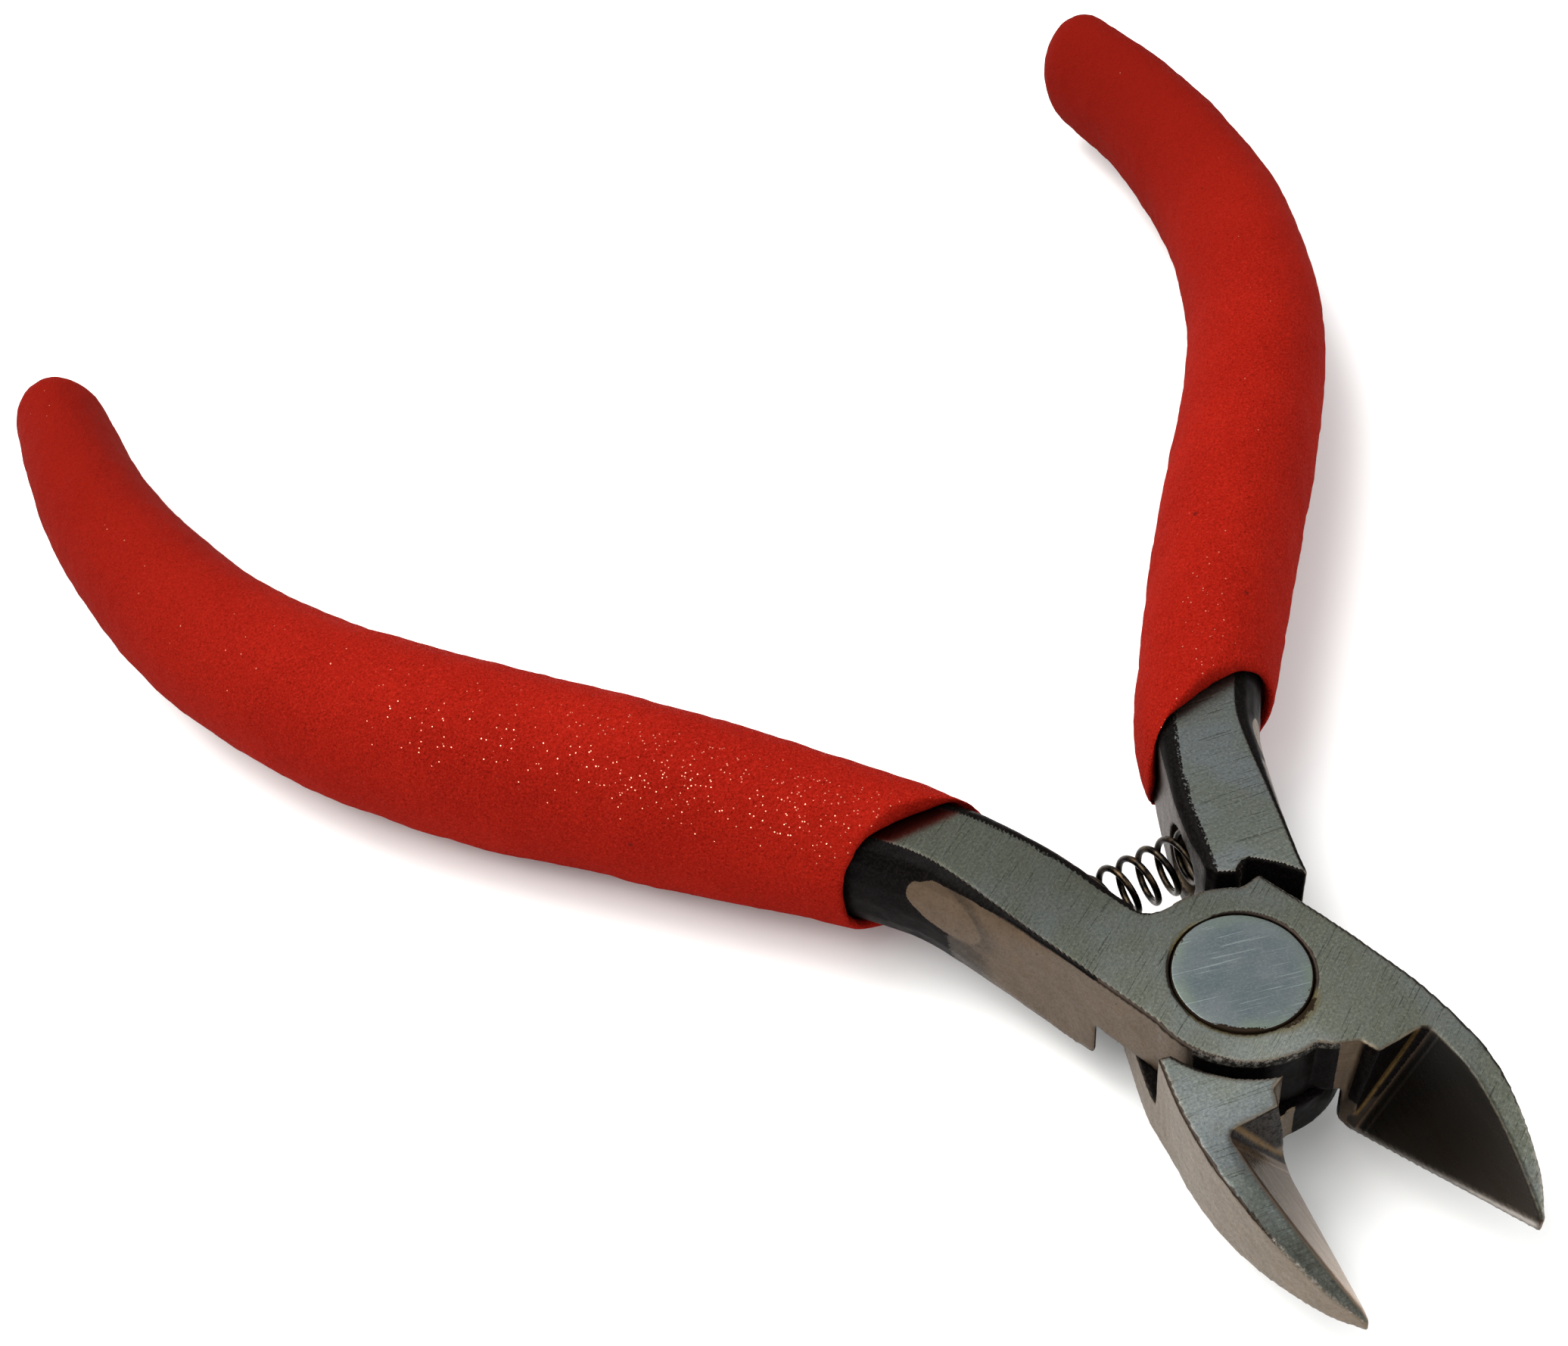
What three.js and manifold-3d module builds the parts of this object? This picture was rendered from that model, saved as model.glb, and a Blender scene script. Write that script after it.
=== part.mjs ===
// Flush cutter: two lap-jointed steel halves on a rivet, a return spring and two soft grips.
// Millimetres. The rivet's axis is Z, the jaws point to -Y and the handles to +Y.
// The origin is the centre of the rivet's underside. The handles stand open, as the spring
// leaves them, and the two halves are mirror images in the plane x = 0 except at the lap.
import * as THREE from 'three';
import { mergeVertices } from 'three/addons/utils/BufferGeometryUtils.js';
import Module from 'manifold-3d';

const wasm = await Module();
wasm.setup();

const radians = THREE.MathUtils.degToRad;

// Steel halves
const THICKNESS = 8.2; // over the ground top and bottom faces
const LAP_HEIGHT = 3.2; // where the upper half's disc rides on the lower half's
const LAP_GAP = 0.12;
const UPPER_DISC_RADIUS = 6.3;
const LOWER_DISC_RADIUS = 6.8;
const STOP_RADIUS = 7.45; // tooth beside the disc that limits the opening
const STOP_ANGLE = 46.5;
const JAW_SHOULDER_RADIUS = 7.3; // clears the other half's disc
const TANG_SHOULDER_RADIUS = 8.5; // clears the other half's stop tooth
const OUTER_LEAN = 0.65; // how far the jaw's outer side leans in at the underside
const CRISP = 0.04; // edge rounding where nothing has been softened

// Jaws
const EDGE_ANGLE = 15.7; // each cutting edge from the centre plane, jaws open
const EDGE_ROOT_RADIUS = 8.78;
const EDGE_ROOT_HEIGHT = 1.0;
const EDGE_RISE = 0.325; // per millimetre outwards along the edge
const TIP_RADIUS = 21.4;
const BEVEL_SLOPE = 1.535; // height over width of the bevel, seen along the jaw
const BEVEL_FILLET = 0.6;
const TOP_FLAT_END = -11.5; // the top face curves down beyond this y
const UNDERSIDE_FLAT_END = -6.4; // the underside slopes up beyond this y
const TIP_TOP_HEIGHT = 4.95;
const TIP_UNDERSIDE_HEIGHT = 4.35;
const JAW_END = -21.2;

// Rivet
const RIVET_HEAD_RADIUS = 4.2;
const RIVET_SHANK_RADIUS = 2.7;
const RIVET_HEAD_LAND = 0.9;
const RIVET_HEAD_DEPTH = 2.3;
const RIVET_GAP = 0.1;
const ROUND_STEPS = 72;

// Return spring
const SPRING_Y = 11.25;
const SPRING_RADIUS = 1.7; // to the middle of the wire
const WIRE_DIAMETER = 0.45;
const SPRING_PITCH = 1.49;
const SPRING_START = -4.35;
const SPRING_START_ANGLE = 40;
const SPRING_TURNS = 6;
const POCKET_RADIUS = 2.3;
const POCKET_FLOOR = 4.95; // from the centre plane

// Handle bars, half-width and half-height, and the share of the grip's length they reach to
const BAR_ROOT = [3, 4];
const BAR_END = [2.1, 3.1];
const BAR_FROM = 0.05;
const BAR_TO = 0.95;
const BAR_SIDES = 16;

// Grips
const GRIP_FIT = 0.3; // between the handle bar and the grip's bore
const MOUTH_SLANT = -11.5; // the mouth's plane from the X axis
const MOUTH_INNER = new THREE.Vector2(-6.3, 17.6);
const END_CAP_LENGTH = 4.2;
const GRIP_SIDES = 24;

const MID_HEIGHT = THICKNESS / 2;
const at = (x, y) => new THREE.Vector2(x, y);
const polar = (radius, degrees) => at(radius, 0).rotateAround(at(0, 0), radians(degrees));
const mix = THREE.MathUtils.lerp;

// Closed mesh through rings of equal length, with flat ends triangulated from the plan.
function skin(rings, plan) {
  const count = plan.length;
  const positions = rings.flat().flatMap((point) => [point.x, point.y, point.z]);
  const last = (rings.length - 1) * count;
  const index = [];
  for (let ring = 0; ring < rings.length - 1; ring += 1) {
    for (let i = 0; i < count; i += 1) {
      const a = ring * count + i;
      const b = ring * count + ((i + 1) % count);
      index.push(a, b, b + count, a, b + count, a + count);
    }
  }
  for (const [a, b, c] of THREE.ShapeUtils.triangulateShape(plan, [])) {
    index.push(last + a, last + b, last + c, c, b, a);
  }
  const geometry = new THREE.BufferGeometry();
  geometry.setAttribute('position', new THREE.Float32BufferAttribute(positions, 3));
  geometry.setIndex(index);
  return geometry;
}

function solid(geometry) {
  const bare = geometry.clone();
  bare.deleteAttribute('normal');
  bare.deleteAttribute('uv');
  const merged = mergeVertices(bare, 1e-5);
  return new wasm.Manifold(new wasm.Mesh({
    numProp: 3,
    vertProperties: new Float32Array(merged.attributes.position.array),
    triVerts: new Uint32Array(merged.index.array),
  }));
}

function geometryOf(manifold) {
  const mesh = manifold.getMesh();
  const geometry = new THREE.BufferGeometry();
  geometry.setAttribute('position', new THREE.BufferAttribute(mesh.vertProperties, 3));
  geometry.setIndex(new THREE.BufferAttribute(mesh.triVerts, 1));
  geometry.computeVertexNormals();
  return geometry;
}

function prism(points, bottom, top) {
  const geometry = new THREE.ExtrudeGeometry(new THREE.Shape(points), {
    depth: top - bottom,
    bevelEnabled: false,
  });
  geometry.translate(0, 0, bottom);
  return solid(geometry);
}

function arc(radius, fromDegrees, toDegrees, steps) {
  return Array.from({ length: steps + 1 }, (_, i) => polar(radius, mix(fromDegrees, toDegrees, i / steps)));
}

function spline(points, steps) {
  return new THREE.SplineCurve(points).getPoints(steps);
}

// ---- Outline of one half: jaw at +X, handle at -X, anticlockwise from the disc ----

const edgeDirection = at(Math.sin(radians(EDGE_ANGLE)), -Math.cos(radians(EDGE_ANGLE)));
const onEdge = (radius) => edgeDirection.clone().multiplyScalar(radius);

const JAW_OUTER = [
  at(7.5, -18.5),
  at(8.6, -14.6),
  at(8.95, -10.5),
  at(8.55, -6.3),
  at(7.75, -3),
  at(6.75, 0.5),
  at(5.45, 4.4),
];
const TANG_INNER = [
  at(-3.05, 7.35),
  at(-3.85, 9.3),
  at(-4.65, 12),
  at(-5.7, 14.7),
  at(-7.75, 18.5),
  at(-9.7, 21),
];
const TANG_OUTER = [
  at(-15.3, 22),
  at(-13.5, 19.8),
  at(-11.9, 17.4),
  at(-10.9, 14.8),
  at(-9.75, 10.9),
  at(-7.8, 4.3),
];

// The stop pad behind the edge: its corners at the underside and at the top face.
const PAD_CORNER = at(1.9, -7.05);
const PAD_HEEL_LOW = at(2.4, -7.23);
const PAD_HEEL_HIGH = at(3.15, -7.5);
const PAD_TOE_HIGH = at(3.65, -8.75);

// Each point carries the width and depth of its edge rounding, and the lean of its side.
function halfOutline(discRadius) {
  const smooth = THREE.MathUtils.smoothstep;
  const outline = [];
  const add = (points, round = () => [CRISP, CRISP], lean = () => 0) => {
    for (const point of points) {
      const [width, depth] = round(point);
      outline.push({ point, width, depth, lean: lean(point) });
    }
  };
  const innerRound = (p) => {
    const width = 0.45 + 0.4 * smooth(p.y, 7, 10.5) + 0.3 * smooth(p.y, 14, 19);
    return [width, 1.2 * width];
  };
  const outerRound = (p) => [CRISP + 1.95 * smooth(p.y, 5, 20), CRISP + 3.9 * smooth(p.y, 4, 17)];
  add([PAD_CORNER, PAD_HEEL_LOW, onEdge(EDGE_ROOT_RADIUS), onEdge(TIP_RADIUS)]);
  add(spline([at(6.35, -20.5), ...JAW_OUTER], 30), undefined, (p) => OUTER_LEAN * smooth(-p.y, 1, 6));
  add([polar(STOP_RADIUS, STOP_ANGLE)]);
  add(arc(discRadius, 55, 92, 7));
  add(new THREE.QuadraticBezierCurve(polar(discRadius, 98), at(-2.4, 6.1), at(-2.9, 7.1)).getPoints(4));
  add(spline(TANG_INNER, 20), innerRound);
  add(spline(TANG_OUTER, 20), outerRound);
  add([at(-6.85, 1.4)]);
  add(arc(discRadius, 184, 278, 18));
  return outline;
}

// Slab with the outline as its flat faces and edges rounded outwards from them.
function roundedPlate(outline, grow = 0) {
  const count = outline.length;
  const normals = outline.map((_, i) => {
    const before = outline[(i + count - 1) % count].point;
    const after = outline[(i + 1) % count].point;
    return at(after.y - before.y, before.x - after.x).normalize();
  });
  const ring = (angle, upper) => outline.map(({ point, width, depth, lean }, i) => {
    const below = depth * (1 - Math.cos(radians(angle)));
    const height = upper ? THICKNESS - below + grow : below - grow;
    const inward = lean * (1 - height / THICKNESS);
    const out = point.clone().addScaledVector(normals[i], width * Math.sin(radians(angle)) - inward + grow);
    return new THREE.Vector3(out.x, out.y, height);
  });
  const rings = [0, 22, 45, 68, 90].map((angle) => ring(angle, false));
  rings.push(...[90, 68, 45, 22, 0].map((angle) => ring(angle, true)));
  return solid(skin(rings, outline.map(({ point }) => point)));
}

// Plan of the space that the other half's disc and stop tooth sweep. The lower half keeps the
// sharp corner of its pad, which stands beside the upper half's disc.
function lapRecess(isUpper) {
  const padSide = isUpper
    ? [at(2.3, -7.45), polar(JAW_SHOULDER_RADIUS, -68)]
    : arc(JAW_SHOULDER_RADIUS, -76, -68, 2);
  return [
    at(-2.2, 9),
    at(-2.95, 6.75),
    at(-3.95, 6.2),
    ...arc(TANG_SHOULDER_RADIUS, 127, 152, 6),
    at(-12, 2.6),
    at(-12, -12),
    at(0, -12),
    ...padSide,
    ...arc(JAW_SHOULDER_RADIUS, -64, -21, 10),
    at(13, -1),
    at(13, 9),
  ];
}

// ---- Cuts that shape the jaw ----

// Everything above the ground bevel, ahead of the wall at its root.
function bevelCut() {
  const root = new THREE.Vector3(...onEdge(EDGE_ROOT_RADIUS), EDGE_ROOT_HEIGHT);
  const along = new THREE.Vector3(edgeDirection.x, edgeDirection.y, EDGE_RISE).normalize();
  const up = new THREE.Vector3(1, 0, BEVEL_SLOPE).normalize();
  const ahead = along.clone().addScaledVector(up, -along.dot(up)).normalize();
  const off = new THREE.Vector3().crossVectors(ahead, up).normalize();
  const section = new THREE.Shape();
  section.moveTo(12, 0);
  section.lineTo(12, 18);
  section.lineTo(0, 18);
  section.lineTo(0, BEVEL_FILLET);
  section.absarc(BEVEL_FILLET, BEVEL_FILLET, BEVEL_FILLET, Math.PI, 1.5 * Math.PI, false);
  const geometry = new THREE.ExtrudeGeometry(section, { depth: 24, bevelEnabled: false, curveSegments: 5 });
  geometry.translate(0, 0, -8);
  geometry.applyMatrix4(new THREE.Matrix4().makeBasis(off, ahead, up));
  geometry.translate(root.x, root.y, root.z);
  return solid(geometry);
}

// A wedge off the stop pad, which faces the other pad squarely only near the underside.
function padCut() {
  const corner = PAD_CORNER.clone().add(at(-0.2, 0.15));
  const aside = at(1.2, -11);
  const beyondRoot = onEdge(EDGE_ROOT_RADIUS).lerp(PAD_HEEL_LOW, -0.4);
  const beyondToe = PAD_TOE_HIGH.clone().lerp(PAD_HEEL_HIGH, -0.4);
  const foot = [PAD_HEEL_LOW, corner, aside, beyondRoot];
  const brow = [PAD_HEEL_HIGH, corner, aside, beyondToe];
  const stretch = (THICKNESS + 1 - EDGE_ROOT_HEIGHT) / (THICKNESS - EDGE_ROOT_HEIGHT);
  const over = brow.map((p, i) => foot[i].clone().lerp(p, stretch));
  const ring = (points, height) => points.map((p) => new THREE.Vector3(p.x, p.y, height));
  return solid(skin([ring(foot, EDGE_ROOT_HEIGHT), ring(over, THICKNESS + 1)], foot));
}

// Side profiles, in Y and Z, of what comes off above and below the jaw's nose.
function noseCuts() {
  const drop = THICKNESS - TIP_TOP_HEIGHT;
  const reach = TOP_FLAT_END - JAW_END;
  const above = Array.from({ length: 9 }, (_, i) => {
    const share = i / 8;
    return at(TOP_FLAT_END - reach * share, THICKNESS - drop * share ** 1.45);
  });
  const across = (points) => {
    const geometry = new THREE.ExtrudeGeometry(new THREE.Shape(points), { depth: 24, bevelEnabled: false });
    geometry.applyMatrix4(new THREE.Matrix4().set(0, 0, 1, -12, 1, 0, 0, 0, 0, 1, 0, 0, 0, 0, 0, 1));
    return solid(geometry);
  };
  const beyond = JAW_END - 3;
  const overTop = across([...above, at(beyond, TIP_TOP_HEIGHT - 1), at(beyond, 12), at(TOP_FLAT_END, 12)]);
  const underNose = across([at(UNDERSIDE_FLAT_END, 0), at(UNDERSIDE_FLAT_END, -2), at(JAW_END, -2),
    at(JAW_END, TIP_UNDERSIDE_HEIGHT)]);
  return overTop.add(underNose);
}

// ---- Rivet, and the same shape grown for its bore ----

function rivetGeometry(grow) {
  const head = RIVET_HEAD_RADIUS + grow;
  const shank = RIVET_SHANK_RADIUS + grow;
  const over = grow > 0 ? 1 : 0;
  const profile = [
    at(0, -over),
    at(head, -over),
    at(head, RIVET_HEAD_LAND),
    at(shank, RIVET_HEAD_DEPTH),
    at(shank, THICKNESS - RIVET_HEAD_DEPTH),
    at(head, THICKNESS - RIVET_HEAD_LAND),
    at(head, THICKNESS + over),
    at(0, THICKNESS + over),
  ];
  const geometry = new THREE.LatheGeometry(profile, ROUND_STEPS);
  geometry.rotateX(Math.PI / 2);
  return geometry;
}

// ---- Handles: a bar inside each grip ----

const HANDLE_AXIS = new THREE.SplineCurve([
  at(-8.6, 15.4),
  at(-11.81, 20.68),
  at(-21.36, 31.88),
  at(-34.4, 46.47),
  at(-41.14, 56.45),
  at(-45.84, 68.16),
  at(-47.96, 81.08),
  at(-47.69, 91.53),
]);

// Half-width and half-height of the grip along the handle, from the mouth to the end cap.
const GRIP_WIDTHS = new THREE.SplineCurve([
  at(0, 3.9),
  at(0.07, 4.75),
  at(0.36, 5.52),
  at(0.67, 5.26),
  at(1, 3.65),
]);
const GRIP_HEIGHTS = new THREE.SplineCurve([
  at(0, 5.7),
  at(0.07, 6.05),
  at(0.36, 7.5),
  at(0.67, 6.7),
  at(1, 5.69),
]);

function valueAt(curve, share) {
  let low = 0;
  let high = 1;
  for (let i = 0; i < 24; i += 1) {
    const middle = (low + high) / 2;
    if (curve.getPoint(middle).x < share) low = middle;
    else high = middle;
  }
  return curve.getPoint(low).y;
}

// Elliptical section across the handle's axis, at a share of its length.
function handleRing(share, width, height, sides, beyond = 0) {
  const centre = HANDLE_AXIS.getPointAt(share);
  const along = HANDLE_AXIS.getTangentAt(share);
  centre.addScaledVector(along, beyond);
  return Array.from({ length: sides }, (_, i) => {
    const angle = (i / sides) * 2 * Math.PI;
    const side = width * Math.cos(angle);
    return new THREE.Vector3(
      centre.x - along.y * side,
      centre.y + along.x * side,
      MID_HEIGHT + height * Math.sin(angle),
    );
  });
}

function circlePlan(sides) {
  return Array.from({ length: sides }, (_, i) => polar(1, (360 * i) / sides));
}

function handleBar(grow) {
  const steps = 16;
  const rings = [];
  for (let i = 0; i <= steps; i += 1) {
    const share = mix(BAR_FROM, BAR_TO, i / steps);
    const ahead = i === steps ? grow : 0;
    const width = mix(BAR_ROOT[0], BAR_END[0], i / steps) + grow;
    const height = mix(BAR_ROOT[1], BAR_END[1], i / steps) + grow;
    rings.push(handleRing(share, width, height, BAR_SIDES, ahead));
  }
  return solid(skin(rings, circlePlan(BAR_SIDES)));
}

// ---- One half, with everything that is cut out of it ----

function steelHalf(isUpper) {
  const outline = halfOutline(isUpper ? UPPER_DISC_RADIUS : LOWER_DISC_RADIUS);
  const recess = isUpper
    ? prism(lapRecess(isUpper), -1, LAP_HEIGHT + LAP_GAP / 2)
    : prism(lapRecess(isUpper), LAP_HEIGHT - LAP_GAP / 2, THICKNESS + 1);
  const pocket = new THREE.CylinderGeometry(POCKET_RADIUS, POCKET_RADIUS, POCKET_FLOOR, 32);
  pocket.rotateZ(Math.PI / 2);
  pocket.translate(-POCKET_FLOOR / 2, SPRING_Y, MID_HEIGHT);
  return roundedPlate(outline)
    .subtract(bevelCut())
    .subtract(padCut())
    .subtract(noseCuts())
    .add(handleBar(0))
    .subtract(recess)
    .subtract(solid(rivetGeometry(RIVET_GAP)))
    .subtract(solid(pocket));
}

// Soft sleeve with a blind bore for the bar, cut off at a slant where the tang enters.
function gripSolid() {
  const steps = 26;
  const rings = [];
  for (let i = 0; i <= steps; i += 1) {
    const share = i / steps;
    rings.push(handleRing(share, valueAt(GRIP_WIDTHS, share), valueAt(GRIP_HEIGHTS, share), GRIP_SIDES));
  }
  const endWidth = valueAt(GRIP_WIDTHS, 1);
  const endHeight = valueAt(GRIP_HEIGHTS, 1);
  for (const angle of [25, 48, 68, 84]) {
    const shrink = Math.cos(radians(angle));
    const beyond = END_CAP_LENGTH * Math.sin(radians(angle));
    rings.push(handleRing(1, endWidth * shrink, endHeight * shrink, GRIP_SIDES, beyond));
  }
  const slant = polar(1, 180 + MOUTH_SLANT);
  const mouth = [
    MOUTH_INNER.clone().addScaledVector(slant, -20),
    MOUTH_INNER.clone().addScaledVector(slant, 30),
    at(-30, -5),
    at(12, -5),
  ];
  const bore = roundedPlate(halfOutline(UPPER_DISC_RADIUS), GRIP_FIT).add(handleBar(GRIP_FIT));
  return solid(skin(rings, circlePlan(GRIP_SIDES)))
    .subtract(prism(mouth, -10, THICKNESS + 10))
    .subtract(bore);
}

// Compression coil with both ends seated in the pockets of the tangs.
class Coil extends THREE.Curve {
  getPoint(share, target = new THREE.Vector3()) {
    const turned = share * SPRING_TURNS;
    const angle = radians(SPRING_START_ANGLE) + turned * 2 * Math.PI;
    return target.set(
      SPRING_START + SPRING_PITCH * turned,
      SPRING_Y + SPRING_RADIUS * Math.cos(angle),
      MID_HEIGHT + SPRING_RADIUS * Math.sin(angle),
    );
  }
}

function springGeometry() {
  const wire = new THREE.Shape(arc(WIRE_DIAMETER / 2, 0, 300, 5));
  const steps = SPRING_TURNS * 14;
  return new THREE.ExtrudeGeometry(wire, { extrudePath: new Coil(), steps, bevelEnabled: false });
}

// ---- Assembly ----

const groundSteel = new THREE.MeshStandardMaterial({ color: 0x8e9690, roughness: 0.42, metalness: 1 });
const rivetSteel = new THREE.MeshStandardMaterial({ color: 0x8a97a0, roughness: 0.38, metalness: 1 });
const springSteel = new THREE.MeshStandardMaterial({ color: 0x2c2723, roughness: 0.3, metalness: 1 });
const redFoam = new THREE.MeshStandardMaterial({ color: 0xd4210f, roughness: 0.75, metalness: 0 });

const mirror = (manifold) => manifold.mirror([1, 0, 0]);

function named(name, geometry, material) {
  const mesh = new THREE.Mesh(geometry, material);
  mesh.name = name;
  return mesh;
}

const flushCutter = new THREE.Group();
flushCutter.name = 'flush_cutter';
flushCutter.add(
  named('upper_half', geometryOf(steelHalf(true)), groundSteel),
  named('lower_half', geometryOf(mirror(steelHalf(false))), groundSteel),
  named('rivet', rivetGeometry(0), rivetSteel),
  named('return_spring', springGeometry(), springSteel),
  named('left_grip', geometryOf(gripSolid()), redFoam),
  named('right_grip', geometryOf(mirror(gripSolid())), redFoam),
);

export default flushCutter;
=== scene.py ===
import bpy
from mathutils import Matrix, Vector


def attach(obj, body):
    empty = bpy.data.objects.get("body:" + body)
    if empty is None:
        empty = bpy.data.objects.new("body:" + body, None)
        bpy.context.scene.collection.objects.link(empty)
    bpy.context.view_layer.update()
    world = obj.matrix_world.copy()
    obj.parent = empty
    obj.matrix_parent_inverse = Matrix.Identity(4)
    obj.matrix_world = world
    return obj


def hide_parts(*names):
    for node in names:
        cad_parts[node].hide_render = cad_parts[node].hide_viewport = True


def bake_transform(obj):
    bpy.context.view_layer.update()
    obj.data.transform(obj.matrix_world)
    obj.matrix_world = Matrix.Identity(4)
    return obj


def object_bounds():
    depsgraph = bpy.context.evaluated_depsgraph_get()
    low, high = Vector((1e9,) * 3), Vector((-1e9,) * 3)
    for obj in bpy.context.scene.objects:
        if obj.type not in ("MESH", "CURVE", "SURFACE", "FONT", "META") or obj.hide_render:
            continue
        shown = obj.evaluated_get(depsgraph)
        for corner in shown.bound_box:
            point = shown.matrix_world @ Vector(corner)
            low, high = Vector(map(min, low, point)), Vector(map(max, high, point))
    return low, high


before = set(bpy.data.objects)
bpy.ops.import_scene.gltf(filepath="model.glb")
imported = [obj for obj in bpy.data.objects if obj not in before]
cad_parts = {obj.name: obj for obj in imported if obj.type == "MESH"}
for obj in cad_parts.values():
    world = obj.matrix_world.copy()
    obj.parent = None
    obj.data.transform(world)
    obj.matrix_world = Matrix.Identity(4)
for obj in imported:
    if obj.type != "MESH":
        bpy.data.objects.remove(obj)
cad_box = [list(corner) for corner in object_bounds()]

import math

import bmesh
import bpy
import numpy as np
from mathutils import Matrix, Vector
from mathutils.bvhtree import BVHTree

# Lengths are millimetres in the CAD's frame, and finished meshes are scaled by MM.
MM = 0.001

# Steel
THICKNESS = 8.2
MID_HEIGHT = THICKNESS / 2
STEEL_VOXEL = 0.14
HIDDEN_FROM = 24.6  # the handle bar inside the grip isn't seen beyond this y
# the tang's inner edge in plan
TANG_INNER = [(-3.05, 7.35), (-3.85, 9.3), (-4.65, 12), (-5.7, 14.7), (-7.75, 18.5), (-9.7, 21)]
# the upper jaw's bevel, the corner line at its root, and the wall that it meets there
BEVEL_NORMAL = (-0.837, -0.051, 0.545)
BEVEL_ROOT = (2.38, -8.45, 1.0)
BEVEL_UP = (0.546, 0.0, 0.838)
WALL_NORMAL = (0.043, -0.9987, -0.028)
DISC_RADIUS = 7.4
RECESS_RADIUS = 9.4
STOP_CORNER_RADIUS = 8.9
STOP_CORNER_HEIGHT = 3.7
# the polished oval on a tang's outer side: centre and half-sizes in y and z, and its lean
OVAL_CENTRE = (14.4, 5.8)
OVAL_HALF = (2.6, 1.6)
OVAL_LEAN = (0.93, 0.37)
PAINTED_LIGHT_RANGE = 2.5  # the painted light attribute holds 0 to 1, for brightness 0 to this

# Rivet
RIVET_RADIUS = 4.21
RIVET_SHANK_RADIUS = 2.7
RIVET_LAND = 0.9
RIVET_DEPTH = 2.3
RIVET_SIDES = 144

# Return spring
SPRING_Y = 11.25
SPRING_RADIUS = 1.7
WIRE_RADIUS = 0.225
WIRE_SIDES = 14
SPRING_PITCH = 1.49
SPRING_START = -4.35
SPRING_START_ANGLE = 40
SPRING_TURNS = 6
STEPS_PER_TURN = 56

# Grips
HANDLE_POINTS = [
    (-8.6, 15.4),
    (-11.81, 20.68),
    (-21.36, 31.88),
    (-34.4, 46.47),
    (-41.14, 56.45),
    (-45.84, 68.16),
    (-47.96, 81.08),
    (-47.69, 91.53),
]
# half-sizes against the share of the handle's length
GRIP_WIDTHS = [(0, 3.9), (0.07, 4.75), (0.36, 5.52), (0.67, 5.26), (1, 3.65)]
GRIP_HEIGHTS = [(0, 5.7), (0.07, 6.05), (0.36, 7.5), (0.67, 6.7), (1, 5.69)]
END_CAP = 4.2
LEFT_MOUTH = ((-6.3, 18.8), -0.03)  # a point on the mouth's edge in plan, and the edge's slope
RIGHT_MOUTH = ((-6.3, 17.6), -0.13)
MOUTH_ARCH = 1.1
FURTHEST_MOUTH = 14
GRIP_COLUMNS = 132
GRIP_ROWS = 300
LIP_REACH = 0.8
BORE_DEPTH = 3.2
BORE_GAP = 0.12
BORE_ROWS = 8
LIP_ROWS = 19
LIP_ROUNDNESS = 0.85
END_ROWS = 15
CURVE_SAMPLES = 2801
AXIS_SAMPLES = 2001
SIZE_SAMPLES = 401
MOUTH_TRIES = 281
GLINT_NORMAL = (-0.36, -0.33, 0.873)  # the foam glints where it faces this way, with partly painted glints


def ramp(value, low, high):
    """A smooth step: 0 up to low, 1 from high on."""
    t = np.clip((value - low) / (high - low), 0, 1)
    return t * t * (3 - 2 * t)


def below(value, low, high):
    """1 up to low, 0 from high on."""
    return ramp(-value, -high, -low)


def near(value, centre, full, none):
    """1 within full of the centre, 0 from none away."""
    return ramp(-np.abs(value - centre), -none, -full)


def strongest(*masks):
    return np.maximum.reduce(masks)


def catmull(points, count):
    """A uniform Catmull-Rom curve through the points."""
    p = np.array(points, float)
    last = len(p) - 1
    u = np.linspace(0, last, count)
    i = np.minimum(u.astype(int), last - 1)
    w = (u - i)[:, None]
    p0, p1, p2, p3 = p[np.maximum(i - 1, 0)], p[i], p[i + 1], p[np.minimum(i + 2, last)]
    v0, v1 = (p2 - p0) / 2, (p3 - p1) / 2
    return ((2 * p1 - 2 * p2 + v0 + v1) * w**3 + (-3 * p1 + 3 * p2 - 2 * v0 - v1) * w**2
            + v0 * w + p1)


def hashed(cells, seed):
    """A number from 0 to 1 for each integer cell."""
    c = cells.astype(np.int64)
    h = (c[..., 0] * 73856093) ^ (c[..., 1] * 19349663) ^ (c[..., 2] * 83492791)
    h = h ^ (seed * 2654435761)
    h = (h ^ (h >> 13)) * 1274126177
    return ((h ^ (h >> 16)) & 0xFFFFFF) / float(0xFFFFFF)


def noise(points, size, seed):
    """Smooth value noise from -1 to 1, with features about size across."""
    p = points / size
    base = np.floor(p)
    f = p - base
    f = f * f * (3 - 2 * f)
    total = np.zeros(len(p))
    for corner in np.ndindex(2, 2, 2):
        c = np.array(corner)
        weight = np.prod(np.where(c == 1, f, 1 - f), axis=1)
        total += weight * hashed(base + c, seed)
    return 2 * total - 1


def mesh_arrays(mesh):
    """The vertices' places and normals."""
    count = len(mesh.vertices)
    points = np.empty(count * 3, np.float32)
    mesh.vertices.foreach_get("co", points)
    normals = np.empty(count * 3, np.float32)
    mesh.vertex_normals.foreach_get("vector", normals)
    return points.reshape(-1, 3).astype(float), normals.reshape(-1, 3).astype(float)


def mesh_edges(mesh):
    """The two ends of each edge, as two arrays."""
    edges = np.empty(len(mesh.edges) * 2, np.int32)
    mesh.edges.foreach_get("vertices", edges)
    return edges.reshape(-1, 2).T


def set_points(mesh, points):
    mesh.vertices.foreach_set("co", np.ascontiguousarray(points, np.float32).ravel())
    mesh.update()


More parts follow.
